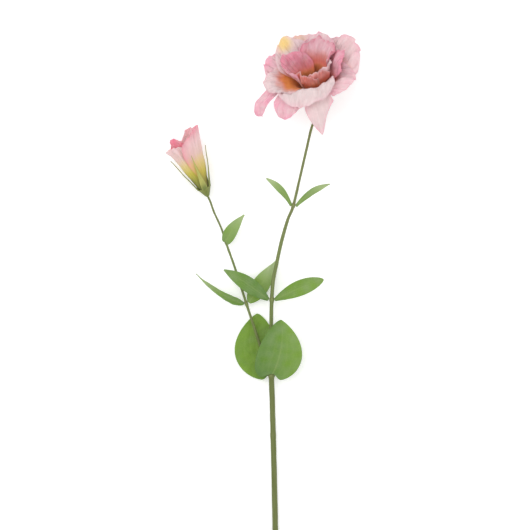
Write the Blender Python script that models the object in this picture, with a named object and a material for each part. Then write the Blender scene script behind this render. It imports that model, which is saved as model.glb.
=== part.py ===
"""Cut lisianthus stem with one open double flower and one half-open bud, lying on its side.

Run with: blender --background --python part.py

The stem lies along +Y with its flower at the far end, and +Z is up, away from the surface that it
rests on. Sizes are in millimetres, and new_mesh_object() turns them into metres. Points are first
placed from the joint of the heart-shaped leaves, at x = y = 0, with z = 0 on the surface. The last
step moves the whole stem so that the origin is at the bottom centre of its bounding box.

Petals and sepals stand round a flower's axis. An azimuth is read like a clock seen from the flower's
face: 0 at the back, 90 at the right, 180 at the front lip and 270 at the left.
"""

import math

import bpy
import numpy as np
from mathutils import Matrix, Vector

MM = 0.001

# Driving dimensions, in millimetres and degrees.
STEM_LENGTH_BELOW_LEAVES = 186.0
STEM_RADIUS_CUT = 2.3
STEM_RADIUS_LEAVES = 2.1
STEM_RADIUS_MIDDLE = 1.6
STEM_RADIUS_TOP = 1.0
BUD_STEM_RADIUS = 1.2
BUD_STEM_RADIUS_TOP = 0.8
CUT_SLANT = 40.0
SEAT_GAP = 0.3
PETAL_THICKNESS = 0.4
LEAF_THICKNESS = 0.6
SEPAL_THICKNESS = 0.7
LEAF_ROOT = 1.2
LEAF_TIP = 0.5

STEM_SIDES = 10
SMALL_SIDES = 6
STEM_STEPS = 2
PETAL_COLUMNS = 8
BUD_COLUMNS = 10
PETAL_ROWS = 9
LEAF_COLUMNS = 6
LEAF_ROWS = 8
SEPAL_COLUMNS = 2
SEPAL_ROWS = 6
ARC_STEPS = 24
SPREAD = 4.0

COLOURS = {
    "stem": (0.20, 0.22, 0.06),
    "leaf": (0.14, 0.32, 0.07),
    "petal": (0.90, 0.62, 0.66),
    "bud": (0.90, 0.60, 0.50),
    "sepal": (0.24, 0.28, 0.08),
    "throat": (0.55, 0.50, 0.12),
}
ROUGHNESS = {"stem": 0.55, "leaf": 0.5, "petal": 0.7, "bud": 0.65, "sepal": 0.55, "throat": 0.6}

# The open flower and the bud: where their petals spring from, and which way their axes point.
FLOWER_SEAT = (34.8, 227.2, 17.6)
FLOWER_AXIS = (-0.20, 0.74, 0.64)
BUD_SEAT = (-54.0, 150.8, 8.3)
BUD_AXIS = (-0.38, 0.88, 0.20)
FLOWER_CALYX_DEPTH = 6.0
BUD_CALYX_DEPTH = 8.0


def unit(vector):
    vector = np.asarray(vector, float)
    return vector / np.linalg.norm(vector, axis=-1, keepdims=True)


def smooth(x):
    """0 below 0, 1 above 1 and a smooth ramp between them."""
    x = np.clip(x, 0.0, 1.0)
    return x * x * (3.0 - 2.0 * x)


def axis_frame(axis):
    """(axis, back, right) of a flower, with right as near +X as it can be."""
    axis = unit(axis)
    right = unit(np.array([1.0, 0.0, 0.0]) - axis[0] * axis)
    return axis, np.cross(axis, right), right


def whorl_value(whorl, key, clock):
    """A setting at an azimuth: each petal's own at its centre, blended smoothly towards the next."""
    order = sorted(whorl, key=lambda petal: petal["clock"] % 360)
    centres = np.array([petal["clock"] % 360 for petal in order])
    values = np.array([petal[key] for petal in order], float)
    centres = np.concatenate([centres[-1:] - 360, centres, centres[:1] + 360])
    values = np.concatenate([values[-1:], values, values[:1]])
    clock = np.mod(clock, 360)
    after = np.clip(np.searchsorted(centres, clock, side="right"), 1, len(centres) - 1)
    share = (clock - centres[after - 1]) / (centres[after] - centres[after - 1])
    return values[after - 1] + (values[after] - values[after - 1]) * smooth(share)


def lean(whorl, clock, arc):
    """Angle in degrees between the petal and the flower's axis, an arc length up from the seat."""
    base = whorl_value(whorl, "base", clock)
    opened = whorl_value(whorl, "open", clock)
    fold = whorl_value(whorl, "fold", clock)
    soft = whorl_value(whorl, "soft", clock)
    curl = whorl_value(whorl, "curl", clock)
    reach = whorl_value(whorl, "length", clock)
    return (
        base
        + (opened - base) * smooth((arc - fold) / soft + 0.5)
        + curl * np.clip((arc - 0.72 * reach) / (0.28 * reach), 0.0, None) ** 1.6
    )


def profile(whorl, clock, arc, spread):
    """(radius, height) at the end of an arc that leans as lean() says, by summing short steps."""
    steps = (np.arange(ARC_STEPS) + 0.5) / ARC_STEPS
    angle = np.radians(lean(whorl, clock[..., None], arc[..., None] * steps) + spread[..., None])
    return arc * np.sin(angle).mean(-1), arc * np.cos(angle).mean(-1)


def petal_points(seat, axis, whorl, petal, rows, columns):
    """Grid of points on the middle surface of one petal."""
    axis, back, right = axis_frame(axis)
    across, along = np.meshgrid(np.linspace(-1, 1, columns + 1), np.linspace(0, 1, rows + 1))
    off_tip = np.abs(across - petal["skew"] * (1.0 - across**2))
    arc = along * petal["length"] * (1.0 - petal["round"] * off_tip ** petal["shoulder"])
    t = arc / petal["length"]
    claw = petal["claw"]
    width = claw + (petal["width"] - claw) * np.sin(0.5 * np.pi * np.clip(t / 0.68, 0, 1)) ** 1.25
    width = width * (1.0 - petal["taper"] * smooth((t - 1.0 + petal["point"]) / petal["point"]))
    seat_radius = petal["radius"] + petal["spiral"] * across
    spread = SPREAD * petal["spiral"] * across
    middle = np.full_like(arc, petal["clock"])
    middle_radius, _ = profile(whorl, middle, arc, 0.0 * arc)
    clock = petal["clock"] + np.degrees(across * width / (petal["radius"] + middle_radius))
    clock = clock + petal["twist"] * t
    radius, height = profile(whorl, clock, arc, spread)
    radius = radius + seat_radius
    angle = np.radians(lean(whorl, clock, arc) + spread)
    wave = petal["ruffle"] * smooth((t - 0.35) / 0.65) * np.sin(math.pi * petal["waves"] * across)
    turn = np.radians(clock)[..., None]
    outward = np.cos(turn) * back + np.sin(turn) * right
    angle = angle[..., None]
    skin_normal = np.cos(angle) * outward - np.sin(angle) * axis
    return (
        np.asarray(seat, float)
        + radius[..., None] * outward
        + (height[..., None] + SEAT_GAP) * axis
        + wave[..., None] * skin_normal
    )


def petal(clock, radius, length, width, opened, **more):
    """Settings of one petal or sepal. Angles are in degrees and lengths in millimetres.

    base and opened are the lean below and above the fold, fold is how far up the fold is and soft how
    long it is. curl adds to the lean at the tip, and ruffle is how far the rim waves, with so many
    waves over its width. width is half the width, and taper is how much of it goes towards the tip,
    over the last point of the length. round and shoulder cut the rim back beside the tip, which skew
    moves to one side.
    """
    made = {
        "clock": clock, "radius": radius, "length": length, "width": width, "open": opened,
        "base": 27.0, "fold": 20.0, "soft": 22.0, "curl": 0.0, "round": 0.22, "shoulder": 2.4,
        "claw": 2.0, "spiral": 0.45, "twist": 0.0, "ruffle": 0.5, "waves": 3.0,
        "skew": 0.0, "taper": 0.18, "point": 0.25,
    }
    made.update(more)
    return made


def sepal(clock, radius, length, opened, **more):
    """Settings of a sepal: a narrow strap that tapers all the way to its tip."""
    made = {"base": opened, "round": 0.05, "claw": 1.7, "spiral": 0.0, "ruffle": 0.0,
            "taper": 0.75, "point": 0.95}
    made.update(more)
    return petal(clock, radius, length, 1.7, opened, **made)


INNER_RADIUS, MIDDLE_RADIUS, OUTER_RADIUS, SEPAL_RADIUS = 3.9, 5.3, 6.7, 8.2
INNER_PETALS = [
    petal(34, INNER_RADIUS, 43, 18, 35, base=30, curl=75, round=0.14, spiral=-0.45, ruffle=0.6),
    petal(95, INNER_RADIUS, 31, 10, 17, base=29, curl=25, spiral=-0.45, ruffle=0.4),
    petal(150, INNER_RADIUS, 28, 12, 8, base=28, fold=12, soft=16, spiral=-0.45, ruffle=0.4),
    petal(215, INNER_RADIUS, 28, 13, 10, base=28, fold=12, soft=16, spiral=-0.45, ruffle=0.4),
    petal(298, INNER_RADIUS, 37, 19, 33, base=30, curl=15, spiral=-0.45, ruffle=0.6),
]
MIDDLE_PETALS = [
    petal(328, MIDDLE_RADIUS, 47, 18, 48, base=36, curl=25, round=0.3),
    petal(20, MIDDLE_RADIUS, 44, 18, 42, base=36, curl=30),
    petal(78, MIDDLE_RADIUS, 39, 11, 34, base=34, curl=70),
    petal(190, MIDDLE_RADIUS, 42, 27, 120, base=40, fold=27, soft=11, curl=-10, ruffle=0.2),
    petal(254, MIDDLE_RADIUS, 41, 18, 74, base=38, fold=20, curl=25, ruffle=0.2),
]
OUTER_PETALS = [
    petal(350, OUTER_RADIUS, 46, 19, 60, base=42, fold=16, soft=20, curl=10),
    petal(57, OUTER_RADIUS, 47, 24, 56, base=42, ruffle=0.7, waves=5.0),
    petal(112, OUTER_RADIUS, 37, 17, 80, base=44, fold=20, curl=25, ruffle=0.3),
    petal(171, OUTER_RADIUS, 57, 12, 150, base=48, fold=25, soft=12, curl=-25, round=0.4,
          shoulder=1.3, skew=0.4, ruffle=0.0),
    petal(217, OUTER_RADIUS, 46, 12, 126, base=48, fold=25, soft=14, curl=30, round=0.3, ruffle=0.0),
    petal(259, OUTER_RADIUS, 58, 6, 104, base=48, fold=25, soft=18, curl=80, twist=-14, ruffle=0.2),
    petal(303, OUTER_RADIUS, 43, 18, 58, base=43, fold=18, curl=25),
]
FLOWER_SEPALS = [sepal(36 + 72 * k, SEPAL_RADIUS, 20, 58, base=54) for k in range(5)]

BUD_INNER_RADIUS, BUD_OUTER_RADIUS, BUD_SEPAL_RADIUS = 2.0, 3.6, 5.2
BUD_INNER_PETALS = [
    petal(18, BUD_INNER_RADIUS, 48, 7, 9, base=11, curl=0, claw=1.2, twist=20, ruffle=0.3),
    petal(205, BUD_INNER_RADIUS, 48, 7.5, 11, base=11, curl=0, claw=1.2, twist=20, ruffle=0.3),
]
BUD_OUTER_PETALS = [
    petal(101, BUD_OUTER_RADIUS, 50.5, 16, 12, base=16, curl=4, claw=3.6, twist=20, spiral=0.6,
          round=0.12, ruffle=0.4),
    petal(200, BUD_OUTER_RADIUS, 43, 16, 13, base=16, curl=24, claw=3.6, twist=20, spiral=0.6,
          round=0.14, ruffle=0.4),
    petal(308, BUD_OUTER_RADIUS, 43, 16, 13, base=16, curl=50, claw=3.6, twist=20, spiral=0.6,
          ruffle=0.4),
]
BUD_SEPALS = [
    sepal(30, BUD_SEPAL_RADIUS, 31, 17),
    sepal(100, BUD_SEPAL_RADIUS, 34, 17),
    sepal(172, BUD_SEPAL_RADIUS, 34, 20),
    sepal(262, BUD_SEPAL_RADIUS, 33, 20),
    sepal(318, BUD_SEPAL_RADIUS, 31, 17),
]

# The main stem's middle line from the cut end to the calyx, then the side stem's to the bud. The first
# point is as high as the stem is thick, so that the cut end rests on the surface.
STEM_ROUTE = [
    (4.0, -STEM_LENGTH_BELOW_LEAVES, STEM_RADIUS_CUT),
    (3.6, -150.0, 2.6), (3.0, -120.0, 3.5), (1.9, -70.0, 5.2), (0.6, -20.0, 6.6),
    (0.0, 0.0, 7.0), (-0.2, 36.8, 8.2), (0.2, 60.8, 9.0), (1.5, 76.8, 9.4), (4.7, 92.8, 9.8),
    (8.3, 108.8, 10.2), (12.9, 124.8, 10.7), (17.4, 136.0, 11.0), (22.3, 156.8, 11.0),
    (27.0, 177.0, 10.4), (31.6, 196.8, 9.8), (35.2, 208.0, 9.7),
]
BUD_STEM_ROUTE = [
    (-3.8, 4.0, 7.0), (-6.2, 12.0, 7.0), (-9.6, 25.6, 6.9), (-19.5, 55.7, 6.6), (-28.7, 84.6, 6.4),
    (-36.5, 106.6, 6.2), (-40.2, 118.1, 6.0), (-46.0, 131.0, 5.6),
]


def leaf(base, tip, width, across, **more):
    """Settings of one leaf, in millimetres: where it starts and ends, and half its width.

    across points from the midrib to the leaf's right side. arch is how far the middle of the midrib
    stands off the straight line. widest is how far along the leaf that is, full how blunt the outline
    is, fold how far the sides rise for each millimetre out, and lobe how far they reach back. dense
    crowds the rows towards the base.
    """
    made = {
        "base": base, "tip": tip, "width": width, "across": across, "arch": (0.0, 0.0, 2.0),
        "widest": 0.45, "full": 2.1, "fold": 0.15, "lobe": 0.0, "dense": 1.0,
    }
    made.update(more)
    return made


LEAVES = [
    leaf((-1.0, 1.0, 4.1), (-11.6, 49.6, 1.4), 19, (1.0, 0.1, 0.0), arch=(-6.0, 0.0, -1.2),
         widest=0.33, full=1.15, fold=0.03, lobe=3.5, dense=1.7),
    leaf((1.0, 1.5, 9.9), (7.6, 44.8, 15.0), 18, (1.0, -0.1, 0.0), arch=(3.5, 0.0, 3.0),
         widest=0.33, full=1.15, fold=0.12, lobe=4.5, dense=1.7),
    leaf((2.6, 61.0, 9.2), (41.6, 77.2, 13.0), 6.4, (-0.35, 1.0, 0.2), arch=(-0.5, 1.0, 5.0),
         widest=0.56, full=1.8),
    leaf((-2.4, 61.0, 9.6), (-38.1, 85.0, 14.0), 6.2, (0.55, 1.0, 0.2), arch=(0.0, 1.5, 4.0)),
    leaf((-22.0, 57.6, 6.8), (-60.6, 81.8, 6.5), 4.6, (0.3, 0.6, 0.75), arch=(-1.0, -2.4, 1.0),
         widest=0.26, full=2.6),
    leaf((-18.2, 58.6, 6.2), (3.5, 92.0, 4.0), 7.2, (0.83, -0.55, 0.0), arch=(0.5, 0.0, -0.6),
         widest=0.38, fold=0.05),
    leaf((-36.8, 107.4, 7.8), (-21.8, 129.1, 10.5), 5.2, (0.8, -0.55, 0.0), arch=(-1.0, 0.5, 2.0),
         widest=0.32, full=1.4, lobe=1.5, dense=1.4),
    leaf((15.8, 136.6, 11.2), (-4.2, 158.1, 14.0), 2.8, (0.7, 0.7, 0.3), arch=(1.4, 1.9, 3.0),
         widest=0.56, full=2.6),
    leaf((19.7, 136.0, 11.2), (46.8, 153.6, 14.5), 2.7, (-0.5, 0.8, 0.3), arch=(-1.0, 2.4, 3.0),
         widest=0.52, full=2.8),
]


def leaf_points(leaf, rows, columns):
    """Grid of points on the middle surface of one leaf, along a midrib that is a shallow arch."""
    base, tip, arch = (np.array(leaf[key], float) for key in ("base", "tip", "arch"))
    u, t = np.meshgrid(np.linspace(-1, 1, columns + 1), np.linspace(0, 1, rows + 1) ** leaf["dense"])
    widest, full = leaf["widest"], leaf["full"]
    outline = (t / widest) ** (full * widest) * ((1 - t) / (1 - widest)) ** (full * (1 - widest))
    root = LEAF_ROOT + (LEAF_TIP - LEAF_ROOT) * t
    reach = np.abs(u) * (root + (leaf["width"] - root) * outline)
    length = np.linalg.norm(tip - base)
    back = leaf["lobe"] / length * np.abs(u) * smooth(2.0 * reach / leaf["width"]) * (1.0 - t) ** 3
    place = (t - back)[..., None]
    midrib = base + (tip - base) * place + 4.0 * arch * place * (1.0 - place)
    along = unit(tip - base)
    across = unit(np.array(leaf["across"]) - np.dot(leaf["across"], along) * along)
    normal = np.cross(across, along)
    normal = normal if normal[2] > 0 else -normal
    rise = leaf["fold"] * reach
    return midrib + (np.sign(u) * reach)[..., None] * across + rise[..., None] * normal


def new_mesh_object(name, points, faces, material):
    mesh = bpy.data.meshes.new(name)
    mesh.from_pydata([tuple(p) for p in np.asarray(points) * MM], [], faces)
    mesh.validate()
    mesh.materials.append(material)
    mesh.shade_smooth()
    made = bpy.data.objects.new(name, mesh)
    bpy.context.scene.collection.objects.link(made)
    return made


def grid_faces(rows, columns):
    wide = columns + 1
    return [
        (j * wide + i, j * wide + i + 1, (j + 1) * wide + i + 1, (j + 1) * wide + i)
        for j in range(rows)
        for i in range(columns)
    ]


def sheet(name, points, thickness, material):
    """A thin closed piece: a grid of points, thickened evenly to both sides."""
    rows, columns = points.shape[0] - 1, points.shape[1] - 1
    made = new_mesh_object(name, points.reshape(-1, 3), grid_faces(rows, columns), material)
    solidify = made.modifiers.new("Thickness", "SOLIDIFY")
    solidify.thickness = thickness * MM
    solidify.offset = 0.0
    return made


def smooth_route(points, steps):
    """Points on a Catmull-Rom curve through the given ones, with so many steps to each span."""
    points = np.asarray(points, float)
    ends = np.vstack([2 * points[0] - points[1], points, 2 * points[-1] - points[-2]])
    share = np.linspace(0, 1, steps, endpoint=False)[:, None]
    spans = [
        0.5 * (2 * b + (c - a) * share + (2 * a - 5 * b + 4 * c - d) * share**2
               + (3 * b - a - 3 * c + d) * share**3)
        for a, b, c, d in zip(ends[:-3], ends[1:-2], ends[2:-1], ends[3:])
    ]
    return np.vstack([*spans, points[-1:]])


def rod(name, middle, radii, sides, material, heading=None, slant=0.0):
    """A round closed piece: rings round a middle line, capped at both ends.

    heading is the rings' direction where it is the same for all of them, and slant tips the first ring.
    """
    middle, radii = np.asarray(middle, float), np.asarray(radii, float)
    forward = np.gradient(middle, axis=0) if heading is None else np.tile(heading, (len(middle), 1))
    forward = unit(forward)
    side = unit(np.cross(forward, (0.0, 0.0, 1.0)))
    up = np.cross(side, forward)
    turn = np.linspace(0, 2 * math.pi, sides, endpoint=False)[None, :, None]
    rings = middle[:, None] + radii[:, None, None] * (
        np.cos(turn) * side[:, None] + np.sin(turn) * up[:, None]
    )
    rings[0] -= math.tan(math.radians(slant)) * radii[0] * np.cos(turn[0]) * forward[0]
    faces = [tuple(range(sides)), tuple(reversed(range(len(middle) * sides - sides, len(middle) * sides)))]
    for k in range(len(middle) - 1):
        for i in range(sides):
            j = (i + 1) % sides
            faces.append((k * sides + i, (k + 1) * sides + i, (k + 1) * sides + j, k * sides + j))
    return new_mesh_object(name, rings.reshape(-1, 3), faces, material)


def turned(name, seat, axis, profile_points, sides, material):
    """A piece turned round a flower's axis, from (radius, height above the seat) pairs."""
    axis = unit(axis)
    middle = [np.array(seat) + height * axis for _, height in profile_points]
    return rod(name, middle, [radius for radius, _ in profile_points], sides, material, heading=axis)


def build_stems(finishes):
    for name, route, seat, axis, depth, stops in (
        ("main_stem", STEM_ROUTE, FLOWER_SEAT, FLOWER_AXIS, FLOWER_CALYX_DEPTH,
         ((-STEM_LENGTH_BELOW_LEAVES, STEM_RADIUS_CUT), (0.0, STEM_RADIUS_LEAVES),
          (12.0, STEM_RADIUS_MIDDLE), (110.0, 0.9 * STEM_RADIUS_MIDDLE), (145.0, STEM_RADIUS_TOP))),
        ("bud_stem", BUD_STEM_ROUTE, BUD_SEAT, BUD_AXIS, BUD_CALYX_DEPTH,
         ((0.0, BUD_STEM_RADIUS), (120.0, BUD_STEM_RADIUS_TOP))),
    ):
        top = np.array(seat) - (depth + SEAT_GAP) * unit(axis)
        bend = top - 5.0 * unit(axis)
        middle = smooth_route([*route, bend, top], STEM_STEPS)
        radii = np.interp(middle[:, 1], *np.array(stops).T)
        slant = CUT_SLANT if name == "main_stem" else 0.0
        rod(name, middle, radii, STEM_SIDES, finishes["stem"], slant=slant)


def build_calyx(prefix, seat, axis, rim, depth, stem_radius, sepals, finishes):
    """The green cup that carries a flower, and its sepals."""
    cup = [(stem_radius + 0.2, -depth), (0.45 * rim, -0.55 * depth), (0.85 * rim, -0.15 * depth),
           (rim, 0.0)]
    turned(f"{prefix}_receptacle", seat, axis, cup, 2 * SMALL_SIDES, finishes["sepal"])
    for number, one in enumerate(sepals, 1):
        points = petal_points(seat, axis, sepals, one, SEPAL_ROWS, SEPAL_COLUMNS)
        sheet(f"{prefix}_sepal_{number}", points, SEPAL_THICKNESS, finishes["sepal"])


def build_whorl(prefix, seat, axis, whorl, columns, material):
    for number, one in enumerate(whorl, 1):
        points = petal_points(seat, axis, whorl, one, PETAL_ROWS, columns)
        sheet(f"{prefix}_{number}", points, PETAL_THICKNESS, material)


def build_throat(finishes):
    """Five stamens round the pistil, deep in the open flower."""
    axis, back, right = axis_frame(FLOWER_AXIS)
    seat = np.array(FLOWER_SEAT)
    pistil = [(1.0, 0.3), (1.7, 1.6), (1.8, 3.6), (1.2, 5.8), (0.6, 6.8), (0.6, 9.0), (1.5, 9.9),
              (1.4, 10.8), (0.6, 11.4)]
    turned("pistil", seat, axis, pistil, 2 * SMALL_SIDES, finishes["throat"])
    for number in range(5):
        turn = math.radians(72 * number + 20)
        outward = math.cos(turn) * back + math.sin(turn) * right
        heights = (0.3, 2.5, 5.0, 6.8, 7.6, 9.8, 10.6)
        middle = [seat + (2.65 + 0.06 * height) * outward + height * axis for height in heights]
        rod(f"stamen_{number + 1}", middle, (0.35, 0.32, 0.3, 0.3, 0.75, 0.75, 0.3), SMALL_SIDES,
            finishes["throat"], heading=axis)


def finish(name):
    made = bpy.data.materials.new(name)
    made.use_nodes = True
    shader = made.node_tree.nodes["Principled BSDF"]
    shader.inputs["Base Color"].default_value = (*COLOURS[name], 1.0)
    shader.inputs["Roughness"].default_value = ROUGHNESS[name]
    return made


def origin_to_bottom_centre():
    """Moves every mesh so that the origin is at the bottom centre of the whole bounding box."""
    view = bpy.context.evaluated_depsgraph_get()
    corners = np.array([
        corner for one in bpy.data.objects for corner in one.evaluated_get(view).bound_box
    ])
    low, high = corners.min(axis=0), corners.max(axis=0)
    shift = Vector((-0.5 * (low[0] + high[0]), -0.5 * (low[1] + high[1]), -low[2]))
    for one in bpy.data.objects:
        one.data.transform(Matrix.Translation(shift))
    return shift


def build():
    for old in list(bpy.data.objects):
        bpy.data.objects.remove(old)
    finishes = {name: finish(name) for name in COLOURS}
    build_stems(finishes)
    for number, one in enumerate(LEAVES, 1):
        sheet(f"leaf_{number}", leaf_points(one, LEAF_ROWS, LEAF_COLUMNS), LEAF_THICKNESS, finishes["leaf"])
    build_calyx("flower", FLOWER_SEAT, FLOWER_AXIS, SEPAL_RADIUS + 0.5, FLOWER_CALYX_DEPTH,
                STEM_RADIUS_TOP, FLOWER_SEPALS, finishes)
    for prefix, whorl in (
        ("inner_petal", INNER_PETALS), ("middle_petal", MIDDLE_PETALS), ("outer_petal", OUTER_PETALS)
    ):
        build_whorl(prefix, FLOWER_SEAT, FLOWER_AXIS, whorl, PETAL_COLUMNS, finishes["petal"])
    build_throat(finishes)
    build_calyx("bud", BUD_SEAT, BUD_AXIS, BUD_SEPAL_RADIUS + 0.5, BUD_CALYX_DEPTH,
                BUD_STEM_RADIUS_TOP, BUD_SEPALS, finishes)
    for prefix, whorl in (("bud_inner_petal", BUD_INNER_PETALS), ("bud_petal", BUD_OUTER_PETALS)):
        build_whorl(prefix, BUD_SEAT, BUD_AXIS, whorl, BUD_COLUMNS, finishes["bud"])
    return origin_to_bottom_centre()


SHIFT = build()
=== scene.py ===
# A cut lisianthus stem on a pale table: one open double flower, one half-open bud, nine leaves.
import math
import bpy
import numpy as np
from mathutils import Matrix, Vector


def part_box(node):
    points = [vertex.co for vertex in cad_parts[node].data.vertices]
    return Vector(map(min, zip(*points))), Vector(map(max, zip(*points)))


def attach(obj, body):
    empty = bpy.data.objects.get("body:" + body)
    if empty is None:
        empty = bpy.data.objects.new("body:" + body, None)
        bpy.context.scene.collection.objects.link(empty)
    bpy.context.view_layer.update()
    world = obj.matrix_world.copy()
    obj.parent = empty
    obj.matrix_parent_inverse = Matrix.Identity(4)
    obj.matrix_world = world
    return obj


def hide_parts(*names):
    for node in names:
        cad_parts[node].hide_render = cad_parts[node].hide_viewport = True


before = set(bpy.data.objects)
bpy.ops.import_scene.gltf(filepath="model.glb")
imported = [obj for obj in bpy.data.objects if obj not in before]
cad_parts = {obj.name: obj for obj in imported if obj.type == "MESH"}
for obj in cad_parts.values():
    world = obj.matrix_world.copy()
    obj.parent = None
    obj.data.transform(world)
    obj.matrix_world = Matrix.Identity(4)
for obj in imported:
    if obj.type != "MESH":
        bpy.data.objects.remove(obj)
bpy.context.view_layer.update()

mm = 0.001  # shapes are worked out in millimetres, from the joint of the heart-shaped leaves

flower = {
    "seat": (34.8, 227.2, 17.6),
    "axis": (-0.20, 0.74, 0.64),
    "cupRim": 8.55,
    "cupDepth": 6.0,
    "stemRadius": 1.0,
    "gap": 0.3,
}
bud = {
    "seat": (-54.0, 150.8, 8.3),
    "axis": (-0.38, 0.88, 0.20),
    "cupRim": 5.55,
    "cupDepth": 8.0,
    "stemRadius": 0.8,
    "gap": 0.3,
}


# numbers and fields

def unit(vector):
    vector = np.asarray(vector, float)
    return vector / np.linalg.norm(vector, axis=-1, keepdims=True)


def smooth(x):  # 0 below 0, 1 above 1, a smooth ramp between
    x = np.clip(x, 0.0, 1.0)
    return x * x * (3.0 - 2.0 * x)


def planeWaves(count, wavelength, seed):  # random plane waves for waveNoise
    rng = np.random.default_rng(seed)
    lengths = wavelength * rng.uniform(0.7, 1.5, count)
    vectors = unit(rng.normal(size=(count, 3))) * (2 * np.pi / lengths)[:, None]
    return vectors, rng.uniform(0, 2 * np.pi, count)


def waveNoise(points, waves):  # sum of sines of the place along each wave, mostly between -1 and 1
    vectors, phases = waves
    return 0.9 * np.sin(points @ vectors.T + phases).sum(-1) / math.sqrt(len(phases))


def axisFrame(axis):  # (axis, back, right), with right as near +X as it can be
    axis = unit(axis)
    right = unit(np.array([1.0, 0.0, 0.0]) - axis[0] * axis)
    return axis, np.cross(axis, right), right


broadWaves = planeWaves(14, 22.0, 3)
crumpleWaves = planeWaves(18, 8.0, 5)
blotchWaves = planeWaves(16, 9.0, 8)
fleckWaves = planeWaves(20, 3.2, 11)


# meshes

def newPiece(replaced, vertices, faceGroups, uvs, masks, finish):
    # a mesh from whole arrays; its name is the replaced node's, with hyphens for the underscores
    name = replaced.replace("_", "-")
    mesh = bpy.data.meshes.new(name)
    mesh.vertices.add(len(vertices))
    mesh.vertices.foreach_set("co", (vertices * mm + layoutZero).astype(np.float32).ravel())
    corners = np.concatenate([group.ravel() for group in faceGroups])
    sizes = np.concatenate([np.full(len(group), group.shape[1]) for group in faceGroups])
    mesh.loops.add(len(corners))
    mesh.loops.foreach_set("vertex_index", corners.astype(np.int32))
    mesh.polygons.add(len(sizes))
    mesh.polygons.foreach_set("loop_start", (np.cumsum(sizes) - sizes).astype(np.int32))
    mesh.update(calc_edges=True)
    mesh.polygons.foreach_set("use_smooth", np.ones(len(sizes), bool))
    mesh.uv_layers.new(name="UVMap").data.foreach_set("uv", uvs[corners].astype(np.float32).ravel())
    for key, values in masks.items():
        attribute = mesh.attributes.new(key, "FLOAT", "POINT")
        attribute.data.foreach_set("value", np.asarray(values, np.float32).ravel())
    mesh.validate()
    mesh.materials.append(finish)
    piece = bpy.data.objects.new(name, mesh)
    bpy.context.scene.collection.objects.link(piece)
    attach(piece, "root")
    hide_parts(replaced)
    return piece


def gridFaces(rows, columns, start=0):  # quads of a grid of rows x columns cells
    j, i = np.meshgrid(np.arange(rows), np.arange(columns), indexing="ij")
    a = (start + j * (columns + 1) + i).ravel()
    return np.stack([a, a + 1, a + columns + 2, a + columns + 1], axis=1)


def sheetPiece(replaced, points, half, uv, masks, finish):
    # a closed sheet: the grid pushed out by half its thickness to both sides and joined round the rim
    rows, columns = points.shape[0] - 1, points.shape[1] - 1
    normal = unit(np.cross(np.gradient(points, axis=1), np.gradient(points, axis=0)))
    faces, back = points + normal * half[..., None], points - normal * half[..., None]
    count = (rows + 1) * (columns + 1)
    index = np.arange(count).reshape(rows + 1, columns + 1)
    loop = np.concatenate([index[0, :-1], index[:-1, -1], index[-1, :0:-1], index[:0:-1, 0]])
    after = np.roll(loop, -1)
    rim = np.stack([loop, loop + count, after + count, after], axis=1)
    groups = [gridFaces(rows, columns), gridFaces(rows, columns, count)[:, ::-1], rim]
    vertices = np.concatenate([faces.reshape(-1, 3), back.reshape(-1, 3)])
    masks = masks | {"inside": (np.ones(count), np.zeros(count))}  # a pair has a value for each face
    pairs = {key: value if isinstance(value, tuple) else (value, value) for key, value in masks.items()}
    doubled = {key: np.concatenate([front.ravel(), rear.ravel()]) for key, (front, rear) in pairs.items()}
    uvs = np.concatenate([uv.reshape(-1, 2)] * 2)
    return newPiece(replaced, vertices, groups, uvs, doubled, finish)


def smoothRoute(points, steps):  # Catmull-Rom curve through the points, with so many steps a span
    points = np.asarray(points, float)
    ends = np.vstack([2 * points[0] - points[1], points, 2 * points[-1] - points[-2]])
    a, b, c, d = (ends[k:len(ends) - 3 + k, None] for k in range(4))
    s = np.linspace(0, 1, steps, endpoint=False)[None, :, None]
    spans = 0.5 * (2 * b + (c - a) * s + (2 * a - 5 * b + 4 * c - d) * s**2
                   + (3 * b - a - 3 * c + d) * s**3)
    return np.vstack([spans.reshape(-1, 3), points[-1:]])


def rodRings(middle, radii, sides, heading=None):
    # rings of points round a middle line: middle + radius * (cos * side + sin * up)
    middle = np.asarray(middle, float)
    forward = np.gradient(middle, axis=0) if heading is None else np.tile(heading, (len(middle), 1))
    forward = unit(forward)
    side = unit(np.cross(forward, (0.0, 0.0, 1.0)))
    up = np.cross(side, forward)
    turn = np.linspace(0, 2 * np.pi, sides, endpoint=False)[None, :, None]
    radii = np.broadcast_to(np.asarray(radii, float).reshape(len(middle), -1), (len(middle), sides))
    circle = np.cos(turn) * side[:, None] + np.sin(turn) * up[:, None]
    return middle[:, None] + radii[..., None] * circle, forward


def rodPiece(replaced, rings, masks, finish):
    # a closed rod: rings joined by quads, with a fan of triangles to a point at each end
    count, sides = rings.shape[:2]
    j, i = np.meshgrid(np.arange(count - 1), np.arange(sides), indexing="ij")
    here, beside = j * sides + i, j * sides + (i + 1) % sides
    quads = np.stack([here, here + sides, beside + sides, beside], axis=-1)
    around = np.arange(sides)
    first, last = count * sides, count * sides + 1
    start = np.stack([np.full(sides, first), around, (around + 1) % sides], axis=1)
    base = (count - 1) * sides
    end = np.stack([np.full(sides, last), base + (around + 1) % sides, base + around], axis=1)
    vertices = np.vstack([rings.reshape(-1, 3), rings[0].mean(0), rings[-1].mean(0)])
    along = np.repeat(np.linspace(0, 1, count), sides)
    uvs = np.stack([np.tile(around / sides, count), along], axis=1)
    uvs = np.vstack([uvs, [[0.5, 0.0]], [[0.5, 1.0]]])
    flat = {key: np.concatenate([np.broadcast_to(value, (count, sides)).ravel(), [value.ravel()[0]],
                                 [value.ravel()[-1]]]) for key, value in masks.items()}
    return newPiece(replaced, vertices, [quads.reshape(-1, 4), start, end], uvs, flat, finish)


# where the layout's zero lies in the frame, read from the pistil, which is made the same way in CAD

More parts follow.
